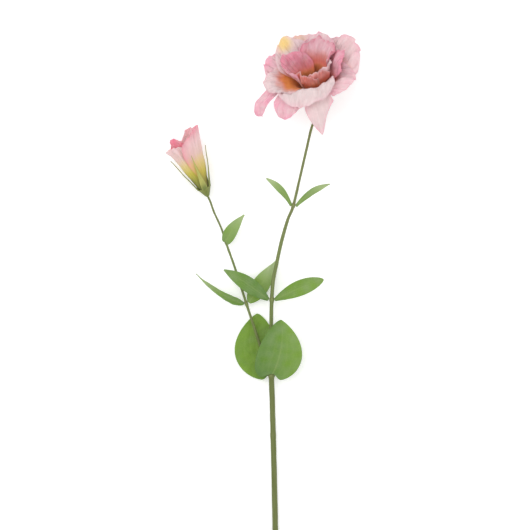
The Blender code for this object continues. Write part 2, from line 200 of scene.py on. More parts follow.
pistil = {
    "profile": [(1.0, 0.3), (1.7, 1.6), (1.8, 3.6), (1.2, 5.8), (0.6, 6.8), (0.6, 9.0), (1.5, 9.9),
                (1.4, 10.8), (0.6, 11.4)],
    "sides": 12,
}
flowerAxis = unit(flower["axis"])
pistilRings, _ = rodRings([np.array(flower["seat"]) + h * flowerAxis for _, h in pistil["profile"]],
                          [r for r, _ in pistil["profile"]], pistil["sides"], flowerAxis)
pistilPoints = pistilRings.reshape(-1, 3)
boxLow, boxHigh = (np.array(corner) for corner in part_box("pistil"))
layoutZero = 0.5 * (boxLow + boxHigh) - 0.5 * mm * (pistilPoints.min(0) + pistilPoints.max(0))
floorHeight = -layoutZero[2] / mm  # height of the table in layout millimetres
print("layout zero in the frame", np.round(layoutZero, 5))


# shader maths

class Wire:  # one output socket; operators add Math nodes
    def __init__(self, finish, socket):
        self.finish, self.socket = finish, socket

    def maths(self, operation, *values, clamp=False):
        return self.finish.node("Math", {"operation": operation, "use_clamp": clamp}, values)

    def __add__(self, other): return self.maths("ADD", self, other)
    __radd__ = __add__
    def __sub__(self, other): return self.maths("SUBTRACT", self, other)
    def __rsub__(self, other): return self.maths("SUBTRACT", other, self)
    def __mul__(self, other): return self.maths("MULTIPLY", self, other)
    __rmul__ = __mul__
    def __truediv__(self, other): return self.maths("DIVIDE", self, other)

    def limited(self): return self.maths("ADD", self, 0.0, clamp=True)  # kept between 0 and 1


class Finish:  # a material being made
    def __init__(self, name, **constants):
        self.material = bpy.data.materials.new(name)
        self.material.use_nodes = True
        self.tree = self.material.node_tree
        self.shader = self.tree.nodes["Principled BSDF"]
        self.output = self.tree.nodes["Material Output"]
        for socket, value in constants.items():
            self.shader.inputs[socket.replace("_", " ")].default_value = value

    def node(self, kind, settings=None, values=(), output=0):
        made = self.tree.nodes.new("ShaderNode" + kind)
        for key, value in (settings or {}).items():
            setattr(made, key, value)
        for key, value in (values.items() if isinstance(values, dict) else enumerate(values)):
            if isinstance(value, Wire):
                self.tree.links.new(value.socket, made.inputs[key])
            else:
                made.inputs[key].default_value = value
        return Wire(self, made.outputs[output])

    def mask(self, name):  # a number stored on the mesh
        return self.node("Attribute", {"attribute_name": name}, output="Fac")

    def across(self):  # 0 to 1 from side to side, from the piece's own UV map
        return self.node("SeparateXYZ", None, [self.node("UVMap", {"uv_map": "UVMap"})])

    def noise(self, scale, detail=3.0, stretch=(1.0, 1.0, 1.0)):  # about -1 to 1
        place = self.node("TexCoord", output="Object")
        place = self.node("Mapping", None, {"Vector": place, "Scale": stretch})
        grey = self.node("TexNoise", None, {"Vector": place, "Scale": scale, "Detail": detail})
        return grey * 4.0 - 2.0

    def mix(self, share, first, second, blend="MIX"):  # colours
        colours = [(*c, 1.0) if isinstance(c, tuple) and len(c) == 3 else c for c in (first, second)]
        return self.node("Mix", {"data_type": "RGBA", "blend_type": blend, "clamp_factor": True},
                         {0: share, 6: colours[0], 7: colours[1]}, output=2)

    def bump(self, height, strength, distance):
        return self.node("Bump", None, {"Strength": strength, "Distance": distance, "Height": height})

    def feed(self, **links):
        for socket, wire in links.items():
            self.tree.links.new(wire.socket, self.shader.inputs[socket.replace("_", " ")])

    def glow(self, share, colour):  # light that comes through a thin sheet
        through = self.node("BsdfTranslucent", None, {"Color": (*colour, 1.0)})
        mixed = self.node("MixShader", None, [share, Wire(self, self.shader.outputs[0]), through])
        self.tree.links.new(mixed.socket, self.output.inputs["Surface"])
        return self.material


def veinLines(u, count, warp, width):
    # lines that fan out from the foot: distance of u * count to the nearest whole number, as a thin ramp
    wavy = u * count + warp
    line = 1.0 - wavy.maths("PINGPONG", wavy, 0.5) / width
    return line.maths("MAXIMUM", line, 0.0)


# finishes

petalLook = {
    "cream": (0.88, 0.77, 0.77),
    # light: a whitish wash laid where the crinkle noise is high, a painted highlight on the crinkles
    "light": (0.97, 0.90, 0.90),
    "pink": (0.93, 0.46, 0.60),
    "rose": (0.80, 0.20, 0.31),
    # salmon: partly the petal's own colour, partly painted shade in the throat and on shaded outer faces
    "salmon": (0.80, 0.18, 0.12),
    "amber": (0.88, 0.32, 0.06),
    # brown: painted shade deep in the throat
    "brown": (0.26, 0.055, 0.015),
    "yellow": (0.99, 0.80, 0.26),
    "through": (0.95, 0.66, 0.66),
    "veins": 15,
    "fineVeins": 41,
    "scales": {"warp": 90.0, "fine": 520.0, "crinkle": 260.0},  # noise waves in a metre
    "glow": 0.28,
}


def makePetalFinish(name, look):
    # cream, then the stored blushes over it, each broken up by veins and noise, and veins a little darker;
    # a whitish wash over the crinkles is painted highlight, the throat's brown painted shade and its salmon
    # partly painted shade
    finish = Finish(name, Roughness=0.5, Sheen_Weight=0.12, Sheen_Roughness=0.4, Specular_IOR_Level=0.3)
    u = finish.across()
    warp = finish.noise(look["scales"]["warp"], 2.0)
    fine = finish.noise(look["scales"]["fine"], 4.0)
    veins = veinLines(u, look["veins"], warp * 0.35, 0.16)
    twigs = veinLines(u, look["fineVeins"], warp * 0.9, 0.22)
    veinMask = (veins * 0.6 + twigs * 0.4).limited()
    broken = 0.94 + veinMask * 0.22 + fine * 0.07
    crinkle = finish.noise(look["scales"]["crinkle"], 3.0, (1.0, 1.0, 0.6))
    colour = look["cream"]
    # the light share follows the crinkle noise that also raises the bump, a painted highlight; the other
    # shares are stored masks
    for key in ("pink", "light", "rose", "salmon", "yellow", "amber", "brown"):
        share = crinkle * 0.24 if key == "light" else finish.mask(key) * broken
        colour = finish.mix(share.limited(), colour, look[key])
    # veins a little darker, random noise, and a painted highlight where the crinkle noise is high
    veinTintAndPaintedHighlight = 1.0 - veinMask * 0.07 + fine * 0.02 + crinkle * 0.03
    grey = finish.node("CombineColor", None, [veinTintAndPaintedHighlight, veinTintAndPaintedHighlight, veinTintAndPaintedHighlight])
    colour = finish.mix(1.0, colour, grey, "MULTIPLY")
    finish.feed(Base_Color=colour, Roughness=0.46 + veinMask * 0.12 + fine * 0.04)
    height = veinMask * 0.6 + fine * 0.25 + crinkle * 1.2
    finish.feed(Normal=finish.bump(height, 0.6, 0.0003))
    return finish.glow(look["glow"], look["through"])


budLook = {
    "rose": (0.90, 0.18, 0.31),
    "through": (0.92, 0.62, 0.50),
    "veins": 13,
    "scales": {"warp": 80.0, "fine": 480.0},
    "glow": 0.22,
    "stops": [(0.0, (0.17, 0.21, 0.04)), (0.14, (0.33, 0.34, 0.05)), (0.30, (0.64, 0.57, 0.07)),
              (0.46, (0.84, 0.68, 0.28)), (0.60, (0.89, 0.66, 0.60)), (0.80, (0.92, 0.70, 0.71)),
              (1.0, (0.92, 0.60, 0.66))],
}


def makeBudFinish():
    # a ramp of colours from the foot to the rim, moved a little by veins and noise, then the rose blush
    look = budLook
    finish = Finish("bud petal", Roughness=0.5, Sheen_Weight=0.12, Specular_IOR_Level=0.35)
    u = finish.across()
    warp = finish.noise(look["scales"]["warp"], 2.0)
    fine = finish.noise(look["scales"]["fine"], 4.0)
    veins = veinLines(u, look["veins"], warp * 0.3, 0.2)
    up = finish.mask("rise") + fine * 0.012 + warp * 0.03 + veins * -0.05
    ramp = finish.node("ValToRGB", None, [up])
    fillRamp(ramp.socket.node, look["stops"])
    colour = finish.mix((finish.mask("rose") * (0.8 + fine * 0.1)).limited(), ramp, look["rose"])
    finish.feed(Base_Color=colour, Roughness=0.48 + fine * 0.05)
    finish.feed(Normal=finish.bump(veins * 0.8 + fine * 0.2, 0.5, 0.00025))
    return finish.glow(look["glow"], look["through"])


def fillRamp(node, stops):
    while len(node.color_ramp.elements) < len(stops):
        node.color_ramp.elements.new(0.5)
    for element, (place, colour) in zip(node.color_ramp.elements, stops):
        element.position = place
        element.color = (*colour, 1.0)


leafLook = {
    "bright": (0.20, 0.36, 0.035),
    "deep": (0.085, 0.20, 0.035),
    "bloom": (0.42, 0.53, 0.26),
    "vein": (0.42, 0.52, 0.18),
    "through": (0.30, 0.50, 0.05),
    "scales": {"patch": 60.0, "fine": 620.0, "cells": 480.0},
    "glow": 0.16,
}
stemLook = {
    "olive": (0.110, 0.135, 0.028),
    "green": (0.12, 0.17, 0.035),
    "pale": (0.36, 0.40, 0.18),
    "brown": (0.16, 0.11, 0.05),
    "pith": (0.62, 0.68, 0.42),
    "scales": {"streaks": 900.0, "patch": 70.0, "fine": 1500.0},
    "stretch": 0.04,      # the streaks run along the stem
}
calyxLook = stemLook | {"olive": (0.15, 0.18, 0.035), "pale": (0.44, 0.43, 0.11), "stretch": 0.06}
throatLook = {"thread": (0.36, 0.44, 0.10), "ripe": (0.86, 0.62, 0.12), "scale": 1800.0}


def makeLeafFinish():
    # bright to deep green, the waxy bloom over it, a pale midrib and a fine net, and a paler underside
    look = leafLook
    finish = Finish("leaf", Roughness=0.45, Specular_IOR_Level=0.28)
    patch = finish.noise(look["scales"]["patch"], 3.0)
    fine = finish.noise(look["scales"]["fine"], 4.0)
    place = finish.node("TexCoord", output="Object")
    cells = finish.node("TexVoronoi", {"feature": "DISTANCE_TO_EDGE"},
                        {"Vector": place, "Scale": look["scales"]["cells"]})
    net = (1.0 - cells * 9.0).limited()
    # the stored tone holds painted shade at each leaf's foot and on one half of a leaf, besides the leaf's
    # own greens
    tone = (finish.mask("tone") + patch * 0.16 + fine * 0.05).limited()
    colour = finish.mix(tone, look["bright"], look["deep"])
    colour = finish.mix((finish.mask("bloom") + patch * 0.08).limited(), colour, look["bloom"])
    vein = finish.mask("vein")
    colour = finish.mix((vein * 0.30 + net * 0.10).limited(), colour, look["vein"])
    under = 1.0 - finish.mask("inside")
    colour = finish.mix(under * 0.45, colour, look["bloom"])
    finish.feed(Base_Color=colour, Roughness=0.42 + fine * 0.06 + under * 0.12)
    finish.feed(Normal=finish.bump(vein * -0.5 + net * -0.25 + fine * 0.2, 0.6, 0.0003))
    return finish.glow(look["glow"], look["through"])


def makeStemFinish(name, look):
    # olive to green by noise, pale streaks along the stem, brown scars and a pale cut face
    finish = Finish(name, Roughness=0.5, Specular_IOR_Level=0.4)
    streaks = finish.noise(look["scales"]["streaks"], 3.0, (1.0, look["stretch"], 1.0))
    patch = finish.noise(look["scales"]["patch"], 3.0)
    fine = finish.noise(look["scales"]["fine"], 3.0)
    greenness = (finish.mask("green") + patch * 0.22).limited()
    colour = finish.mix(greenness, look["olive"], look["green"])
    colour = finish.mix((0.05 + streaks * 0.13 + finish.mask("pale")).limited(), colour, look["pale"])
    colour = finish.mix((finish.mask("brown") * 0.7 + fine * 0.03).limited(), colour, look["brown"])
    colour = finish.mix(finish.mask("cut").limited(), colour, look["pith"])
    finish.feed(Base_Color=colour, Roughness=0.5 + streaks * 0.06)
    finish.feed(Normal=finish.bump(streaks * 0.5 + fine * 0.2, 0.45, 0.0002))
    return finish.material


def makeThroatFinish():
    # greenish threads, yellow where the pollen and the stigma are ripe
    look = throatLook
    finish = Finish("pollen and stigma", Roughness=0.6)
    fine = finish.noise(look["scale"], 3.0)
    colour = finish.mix((finish.mask("ripe") + fine * 0.1).limited(), look["thread"], look["ripe"])
    finish.feed(Base_Color=colour, Normal=finish.bump(fine, 0.6, 0.0002))
    return finish.material


petalFinish = makePetalFinish("petal", petalLook)
budFinish = makeBudFinish()
leafFinish = makeLeafFinish()
stemFinish = makeStemFinish("stem", stemLook)
calyxFinish = makeStemFinish("calyx", calyxLook)
throatFinish = makeThroatFinish()
print("finishes ready")


# petals

def petal(clock, radius, length, width, opened, **more):
    # clock is where it stands round the axis: 0 back, 90 right, 180 the front lip, 270 left; radius is
    # that of the ring its foot stands on, and width is half its width. base and open are its lean away
    # from the axis in degrees, below and above a fold that lies fold millimetres up and takes soft of
    # them. curl leans the tip further, and spiral lets one side stand outside its neighbour.
    made = {
        "clock": clock, "radius": radius, "length": length, "width": width, "open": opened,
        "base": 27.0, "fold": 20.0, "soft": 22.0, "curl": 0.0, "round": 0.22, "shoulder": 2.4,
        "claw": 2.0, "spiral": 0.45, "twist": 0.0, "ruffle": 1.0, "skew": 0.0,
        "taper": 0.18, "point": 0.25,
        # blushes: strength over the petal and at the rim, and how many millimetres up the throat's go;
        # the throat's brown is painted shade, its salmon partly painted shade
        "pink": 0.25, "rim": 0.5, "rimWidth": 3.0, "rose": 0.0, "salmon": 12.0, "amber": 6.0, "brown": 0.0,
        "rimRose": 0.0, "outside": 0.0, "yellow": 0.0, "patchy": 1.0,
    }
    made.update(more)
    return made


def whorlValue(whorl, key, clock):
    # each petal's own value at its centre, blended smoothly towards the next petal round the axis
    order = sorted(whorl, key=lambda one: one["clock"] % 360)
    centres = np.array([one["clock"] % 360 for one in order])
    values = np.array([one[key] for one in order], float)
    centres = np.concatenate([centres[-1:] - 360, centres, centres[:1] + 360])
    values = np.concatenate([values[-1:], values, values[:1]])
    clock = np.mod(clock, 360)
    after = np.clip(np.searchsorted(centres, clock, side="right"), 1, len(centres) - 1)
    share = (clock - centres[after - 1]) / (centres[after] - centres[after - 1])
    return values[after - 1] + (values[after] - values[after - 1]) * smooth(share)


petalSkin = {
    "arcSteps": 28,
    "spread": 4.0,          # degrees that one side leans out more than the other, per unit of spiral
    "curlStart": 0.72,      # share of the length at which the tip starts to curl
    "fullWidth": 0.68,      # share of the length at which the petal is widest
    # ripples round the axis: how many, how many bends shift them, how far, the bends' phase, and the
    # turn from foot to rim
    "ruffle": (7, 3, 1.1, 1.0, 2.0),
    "frill": (19, 5, 2.0, 0.0, 3.0),
    "fineFrill": (37, 7, 1.5, 2.0, 0.0),
    # teeth of the rim: how many half turns from side to side, phase, height
    "teeth": [(7.0, 1.0, 0.7), (16.0, 2.3, 0.5), (37.0, 3.1, 0.15)],
    "pleats": [(0.40, 3.7), (0.45, 5.9), (0.40, 9.3)],   # height and millimetres from one to the next
    # the brown is painted shade deep in the throat, the salmon partly painted shade, the amber the petal's
    # own colour
    "throat": [("brown", 8.0), ("amber", 9.0), ("salmon", 12.0)],  # millimetres over which each fades
    "spot": [(0.92, 0.15), (-0.06, 0.36)],   # the yellow patch's place and size, up and across the petal
}


def profileOf(whorl, clock, arc, spread):
    # radius, height and lean at each arc length: the lean goes from base to open over the fold, then
    # curls at the tip, and its sine and cosine are summed over short steps
    settings = {key: whorlValue(whorl, key, clock)[..., None]
                for key in ("base", "open", "fold", "soft", "curl", "length")}
    count, curlStart = petalSkin["arcSteps"], petalSkin["curlStart"]
    steps = (np.arange(count + 1) + 0.5) / count
    steps[-1] = 1.0
    along = arc[..., None] * steps
    tip = np.clip((along / settings["length"] - curlStart) / (1.0 - curlStart), 0.0, None)
    lean = (settings["base"] + (settings["open"] - settings["base"])
            * smooth((along - settings["fold"]) / settings["soft"] + 0.5) + settings["curl"] * tip**1.6)
    lean = np.radians(lean + spread[..., None])
    return (arc * np.sin(lean[..., :-1]).mean(-1), arc * np.cos(lean[..., :-1]).mean(-1), lean[..., -1])


def ripple(phase, t, around, bends, bent, shift, drift):
    return np.sin(around * phase + bent * np.sin(bends * phase + shift) + drift * t)


def petalSurface(head, whorl, one, rows, columns):
    # a point is seat + radius * outward + height * axis. outward turns round the axis with across * width,
    # which is -1 to 1 from side to side, and radius and height come from profileOf at the arc length
    # from foot to rim. The rim is rounded, skewed and toothed, and waves along the normal are added.
    axis, back, right = axisFrame(head["axis"])
    across, along = np.meshgrid(np.linspace(-1, 1, columns + 1), np.linspace(0, 1, rows + 1))
    offTip = np.abs(across - one["skew"] * (1.0 - across**2))
    seed = one["clock"] * 0.37 + one["radius"]
    teeth = sum(height * np.sin(turns * across + phase * seed) for turns, phase, height in petalSkin["teeth"])
    notch = teeth * head["ragged"] * one["ruffle"]
    reach = 1.0 - one["round"] * offTip ** one["shoulder"] + notch * along**3
    arc = along * one["length"] * reach
    t = arc / one["length"]
    opening = np.sin(0.5 * np.pi * np.clip(t / petalSkin["fullWidth"], 0, 1)) ** 1.25
    width = one["claw"] + (one["width"] - one["claw"]) * opening
    width = width * (1.0 - one["taper"] * smooth((t - 1.0 + one["point"]) / one["point"]))
    spread = petalSkin["spread"] * one["spiral"] * across
    middleRadius, _, _ = profileOf(whorl, np.full_like(arc, one["clock"]), arc, 0.0 * arc)
    clock = one["clock"] + np.degrees(across * width / (one["radius"] + middleRadius)) + one["twist"] * t
    radius, height, lean = profileOf(whorl, clock, arc, spread)
    radius = radius + one["radius"] + one["spiral"] * across
    turn = np.radians(clock)[..., None]
    outward = np.cos(turn) * back + np.sin(turn) * right
    lean = lean[..., None]
    skinNormal = np.cos(lean) * outward - np.sin(lean) * axis
    points = (np.array(head["seat"]) + radius[..., None] * outward + (height[..., None] + head["gap"]) * axis)
    # ruffles and frills run round the whole whorl, so that petals lying on each other wave together;
    # pleats run along each petal, and the plane waves crumple everything a little
    phase = np.radians(clock)
    free = smooth((t - 0.30) / 0.70)
    rim = smooth((t - 0.55) / 0.45)
    frill = ripple(phase, t, *petalSkin["frill"]) + 0.6 * ripple(phase, t, *petalSkin["fineFrill"])
    wave = head["ruffle"] * free * ripple(phase, t, *petalSkin["ruffle"]) + head["frill"] * rim * frill
    wave = wave * one["ruffle"]
    wave = wave + head["crumple"] * smooth((t - 0.1) / 0.6) * (
        waveNoise(points, broadWaves) + 0.35 * waveNoise(points, crumpleWaves))
    out = across * width
    for share, length in petalSkin["pleats"]:
        drift = 1.6 * np.sin(4.3 * t + seed * length)
        wave = wave + head["pleat"] * share * smooth((t - 0.42) / 0.4) * np.sin(
            2 * np.pi * out / length + drift + seed)
    points = points + wave[..., None] * skinNormal
    sideGap, tipGap = (1.0 - np.abs(across)) * width, (1.0 - along) * one["length"] * reach
    edge = np.minimum(sideGap + 6.0 * (1.0 - smooth(t / 0.55)), tipGap)
    return points, np.stack([0.5 + 0.5 * across, along], axis=-1), across, t, edge


def settle(points):  # nothing goes below the table: heights ease off just above it
    lift, ease = floorHeight + 0.25, 0.5
    settled = points.copy()
    settled[..., 2] = lift + ease * np.logaddexp(0.0, (points[..., 2] - lift) / ease)
    return settled


def makePetal(name, head, whorl, one, finish):
    # the surface with its blushes stored on it, as strengths that fall off from the rim or the throat, the
    # throat's brown being painted shade and its salmon partly painted shade; a pair is the strength on the
    # inner and on the outer face
    rows, columns = head["grid"]
    points, uv, across, t, edge = petalSurface(head, whorl, one, rows, columns)
    points = settle(points)
    blotch, fleck = waveNoise(points, blotchWaves), waveNoise(points, fleckWaves)
    rim = np.exp(-np.clip(edge, 0, None) / one["rimWidth"])
    far = smooth((t - 0.25) / 0.6)
    depth = t * one["length"] + 1.2 * blotch
    uneven = 0.85 + one["patchy"] * (0.35 * blotch + 0.15 * fleck)
    pink = one["pink"] * (0.35 + 0.65 * far) * uneven + one["rim"] * rim * uneven
    # from the foot up the throat: the brown is painted shade, the salmon partly painted shade, the amber the
    # petal's own colour
    brown, amber, salmon = (1.0 - smooth((depth - one[key]) / soft + 0.5) if one[key] else 0.0 * t
                            for key, soft in petalSkin["throat"])
    # outside lays salmon on the outer face away from its edge, painted shade on the upright inner petals; the
    # bud's finish reads only the rose it carries
    outside = one["outside"] * (1.0 - 0.75 * np.exp(-edge / 1.2)) * (0.9 + 0.12 * blotch)
    (upPlace, upSize), (sidePlace, sideSize) = petalSkin["spot"]
    spot = np.exp(-(((t - upPlace) / upSize) ** 2 + ((across - sidePlace) / sideSize) ** 2) ** 1.5)
    masks = {
        "pink": np.clip(pink, 0, 1),
        "rose": (np.clip(one["rose"] * smooth((depth - 8) / 12) * uneven + one["rimRose"] * rim, 0, 1),
                 np.clip(one["rimRose"] * rim + one["rose"] * one["outside"] * uneven, 0, 1)),
        "salmon": (salmon * 0.95, np.clip(outside, 0, 1)),
        "amber": (amber, 0.5 * amber),
        # painted shade deep in the throat, on the inner face only
        "brown": (brown, 0.0 * t),
        "yellow": np.clip(one["yellow"] * spot, 0, 1),
        "rise": np.clip(t * one["length"] / head["tall"], 0, 1),
    }
    half = 0.5 * head["thickness"] * (0.35 + 0.65 * smooth(edge / 3.0)) * (1.25 - 0.35 * t)
    sheetPiece(name, points, half, uv, masks, finish)


flower.update(ruffle=1.3, frill=0.8, crumple=1.2, pleat=0.9, ragged=0.014, thickness=0.4, tall=60.0,
              grid=(64, 64))
bud.update(ruffle=0.5, frill=0.5, crumple=0.5, pleat=0.8, ragged=0.012, thickness=0.4, tall=50.0,
           grid=(60, 60))

innerRadius, middleRadius, outerRadius, sepalRadius = 3.9, 5.3, 6.7, 8.2
innerPetals = [
    # the first inner petal's deep rose rim is partly its own colour, partly painted shade of its rolled edge
    petal(34, innerRadius, 43, 19, 35, base=30, curl=85, round=0.14, spiral=-0.45, pink=0.35, rim=0.3,
          rose=0.18, rimRose=0.7, rimWidth=4.5, salmon=28.0, amber=18.0, brown=17.0, patchy=0.7),
    petal(95, innerRadius, 31, 10, 17, base=29, curl=25, spiral=-0.45, pink=0.1, rim=0.1, salmon=16.0,
          amber=14.0, brown=14.0, outside=0.15),
    # the salmon outer faces of these two front inner petals are painted shade
    petal(150, innerRadius, 28, 12, 8, base=28, fold=12, soft=16, spiral=-0.45, ruffle=0.6, pink=0.2,
          rim=0.0, salmon=25.0, amber=18.0, brown=16.0, outside=0.9),
    petal(215, innerRadius, 28, 13, 10, base=28, fold=12, soft=16, spiral=-0.45, ruffle=0.6, pink=0.2,
          rim=0.0, salmon=25.0, amber=18.0, brown=16.0, outside=0.9),
    petal(298, innerRadius, 37, 19, 33, base=30, curl=20, spiral=-0.45, pink=0.8, rim=0.3, rose=0.58,
          salmon=21.0, amber=15.0, brown=13.0, patchy=0.5),
]
middlePetals = [
    petal(328, middleRadius, 47, 18, 48, base=36, curl=25, round=0.3, pink=0.1, rim=0.2, salmon=24.0,
          yellow=0.95),
    petal(20, middleRadius, 44, 18, 42, base=36, curl=30, pink=0.2, rim=0.6, salmon=24.0),
    petal(78, middleRadius, 39, 11, 34, base=34, curl=70, pink=0.75, rim=0.4, rose=0.1, rimRose=0.35,
          rimWidth=6.0, salmon=20.0, amber=10.0, patchy=0.5),
    petal(190, middleRadius, 42, 28, 120, base=40, fold=27, soft=11, curl=-10, ruffle=0.6, pink=0.0,
          rim=0.35, salmon=16.0, amber=18.0),
    petal(254, middleRadius, 41, 20, 74, base=38, fold=20, curl=25, ruffle=0.7, pink=0.0, rim=0.3,
          salmon=28.0, amber=26.0, brown=8.0),
]
outerPetals = [
    petal(350, outerRadius, 46, 19, 60, base=42, fold=16, soft=20, curl=10, pink=0.15, rim=0.5, yellow=0.3),
    petal(57, outerRadius, 47, 24, 56, base=42, ruffle=1.6, pink=0.12, rim=0.45, rimWidth=4.0, salmon=28.0),
    petal(112, outerRadius, 37, 17, 80, base=44, fold=20, curl=25, pink=0.35, rim=0.35, salmon=19.0),
    petal(171, outerRadius, 57, 12, 150, base=48, fold=25, soft=12, curl=-25, round=0.4,
          shoulder=1.3, skew=0.4, ruffle=0.5, pink=0.0, rim=0.75, rimWidth=2.4, salmon=14.0),
    petal(217, outerRadius, 46, 13, 126, base=48, fold=25, soft=14, curl=30, round=0.3, ruffle=0.6,
          pink=0.7, rim=0.4),
    petal(259, outerRadius, 58, 6.5, 104, base=48, fold=25, soft=18, curl=80, twist=-14, ruffle=0.6, pink=0.8,
          rim=0.7),
    petal(303, outerRadius, 43, 18, 58, base=43, fold=18, curl=25, pink=0.5, rim=0.8),
]
budInnerRadius, budOuterRadius, budSepalRadius = 2.0, 3.6, 5.2
budInnerPetals = [
    petal(20, budInnerRadius, 49, 11, 11, base=11, curl=8, claw=1.2, twist=20, rose=0.05, rimRose=0.3,
          outside=0.7),
    petal(200, budInnerRadius, 48.5, 8, 12, base=11, curl=0, claw=1.2, twist=20, ruffle=0.3, rose=1.0,
          outside=1.0),
]
budPetals = [
    petal(101, budOuterRadius, 51, 17, 12, base=16, curl=4, claw=3.6, twist=20, spiral=0.6, round=0.12,
          rim=1.0, rimRose=0.7, rimWidth=3.5, outside=0.3),
    petal(200, budOuterRadius, 43, 16, 13, base=16, curl=24, claw=3.6, twist=20, spiral=0.6, rimWidth=2.0,
          round=0.14),
    petal(308, budOuterRadius, 43, 16, 13, base=16, curl=50, claw=3.6, twist=20, spiral=0.6, rose=0.15),
]


def makeWhorl(prefix, head, whorl, finish):
    for number, one in enumerate(whorl, 1):
        makePetal(f"{prefix}_{number}", head, whorl, one, finish)


makeWhorl("inner_petal", flower, innerPetals, petalFinish)
makeWhorl("middle_petal", flower, middlePetals, petalFinish)
makeWhorl("outer_petal", flower, outerPetals, petalFinish)
print("open flower ready")
makeWhorl("bud_inner_petal", bud, budInnerPetals, budFinish)
makeWhorl("bud_petal", bud, budPetals, budFinish)
print("bud ready")


# calyx cups and sepals

calyx = {
    "rings": 14,
    "sides": 40,
    "wall": 0.15,        # how far the cup stands out from the stem at its foot
    "flare": 0.88,
    "ribs": 5,
    "ribHeight": 0.035,
    "grid": (40, 8),
    "thinnest": 0.16,    # half the thickness at a sepal's margin
    "keel": 0.35,        # added to it along the middle
    "sunnyClock": 172,   # the bud's front sepal is yellower than the others
    "sunny": 0.85,
}
sepalShape = {"round": 0.05, "spiral": 0.0, "ruffle": 0.0, "taper": 0.86, "point": 0.95}
flower.update(sepalRadius=sepalRadius, sepalWidth=1.9, sepalFoot=2.6)
flower["sepals"] = [(36 + 72 * k, 20, 58, 54) for k in range(5)]  # clock, length, lean at the tip and foot
bud.update(sepalRadius=budSepalRadius, sepalWidth=1.7, sepalFoot=2.6)
bud["sepals"] = [(30, 31, 17, 17), (100, 34, 16, 17), (172, 33, 19, 19), (262, 33, 20, 20), (318, 31, 17, 17)]


def makeCup(prefix, head):
    # a ribbed cup: rings round the axis whose radius grows from the stem's to the rim's as height ** flare
    axis = unit(head["axis"])
    foot = head["stemRadius"] + calyx["wall"]
    rise = np.linspace(0, 1, calyx["rings"])
    radii = foot + (head["cupRim"] - foot) * rise ** calyx["flare"]
    turn = np.linspace(0, 2 * np.pi, calyx["sides"], endpoint=False)
    ribs = 1.0 + calyx["ribHeight"] * np.cos(calyx["ribs"] * turn)[None, :] * rise[:, None]
    middle = np.array(head["seat"]) + ((rise - 1.0) * head["cupDepth"])[:, None] * axis
    rings, _ = rodRings(middle, radii[:, None] * ribs, calyx["sides"], axis)
    zero = np.zeros((calyx["rings"], 1))
    masks = {"green": zero + 0.3, "pale": 0.25 * rise[:, None] ** 3, "brown": zero, "cut": zero}
    rodPiece(f"{prefix}_receptacle", rings, masks, calyxFinish)


def makeSepals(prefix, head):
    # narrow petals without frills, thicker along the middle, that taper almost to a point
    whorl = [petal(clock, head["sepalRadius"], length, head["sepalWidth"], opened, base=base,
                   claw=head["sepalFoot"], **sepalShape) for clock, length, opened, base in head["sepals"]]
    plain = head | {"crumple": 0.25, "pleat": 0.0, "gap": -0.4}
    for number, one in enumerate(whorl, 1):
        points, uv, across, t, _ = petalSurface(plain, whorl, one, *calyx["grid"])
        keel = calyx["keel"] * (1.0 - np.abs(across)) * (1.0 - 0.6 * t)
        margin = 0.35 * smooth((np.abs(across) - 0.5) / 0.5)
        sunny = calyx["sunny"] * smooth(t / 0.25) * (one["clock"] == calyx["sunnyClock"])
        masks = {"green": 0.4 + 0.3 * t, "pale": margin + 0.15 * t + sunny,
                 "brown": 0.5 * smooth((t - 0.93) / 0.07), "cut": 0.0 * t}
        sheetPiece(f"{prefix}_sepal_{number}", settle(points), calyx["thinnest"] + keel, uv, masks,
                   calyxFinish)


for prefix, head in (("flower", flower), ("bud", bud)):
    makeCup(prefix, head)
    makeSepals(prefix, head)
print("calyx ready")


# pistil and stamens

pistil.update(rings=60, finishedSides=28, stigma=9.0, stigmaSoft=1.5, lobes=0.28)
stamen = {
    "count": 5,
    "firstTurn": 20,
    "sides": 12,
    "height": (0.3, 10.6),
    "radius": 2.65,       # how far its foot stands from the axis
    "lean": 0.06,
    "thread": 0.24,
    "anther": 0.55,       # added to the thread's radius
    "antherStart": 6.6,
    "antherEnd": 10.8,
}


def makePistil():
    # rings round the flower's axis with the profile's radii, smoothed, and two lobes at the stigma
    profile = np.array(pistil["profile"])
    heights = np.linspace(profile[0, 1], profile[-1, 1], pistil["rings"])
    radii = np.interp(heights, profile[:, 1], profile[:, 0])
    radii = np.convolve(np.pad(radii, 2, mode="edge"), np.ones(5) / 5, "valid")
    sides = pistil["finishedSides"]
    turn = np.linspace(0, 2 * np.pi, sides, endpoint=False)
    ripe = smooth((heights - pistil["stigma"]) / pistil["stigmaSoft"])[:, None]
    lobes = 1.0 + pistil["lobes"] * np.cos(2 * turn)[None, :] * ripe
    middle = np.array(flower["seat"]) + heights[:, None] * flowerAxis
    rings, _ = rodRings(middle, radii[:, None] * lobes, sides, flowerAxis)
    rodPiece("pistil", rings, {"ripe": 0.75 * ripe}, throatFinish)


def makeStamen(number):
    # a thread that leans out from the axis, with a swelling between the anther's start and end
    _, back, right = axisFrame(flower["axis"])
    turn = math.radians(360 / stamen["count"] * number + stamen["firstTurn"])
    outward = math.cos(turn) * back + math.sin(turn) * right
    h = np.linspace(*stamen["height"], 44)
    away = stamen["radius"] + stamen["lean"] * h
    middle = np.array(flower["seat"]) + away[:, None] * outward + h[:, None] * flowerAxis
    anther = smooth((h - stamen["antherStart"]) / 1.2) * smooth((stamen["antherEnd"] - h) / 0.9)
    radii = stamen["thread"] + stamen["anther"] * anther + 0.02 * np.sin(3 * h)
    rings, _ = rodRings(middle, radii, stamen["sides"])
    rodPiece(f"stamen_{number + 1}", rings, {"ripe": anther[:, None]}, throatFinish)


makePistil()
for number in range(stamen["count"]):
    makeStamen(number)
print("throat ready")


# stems

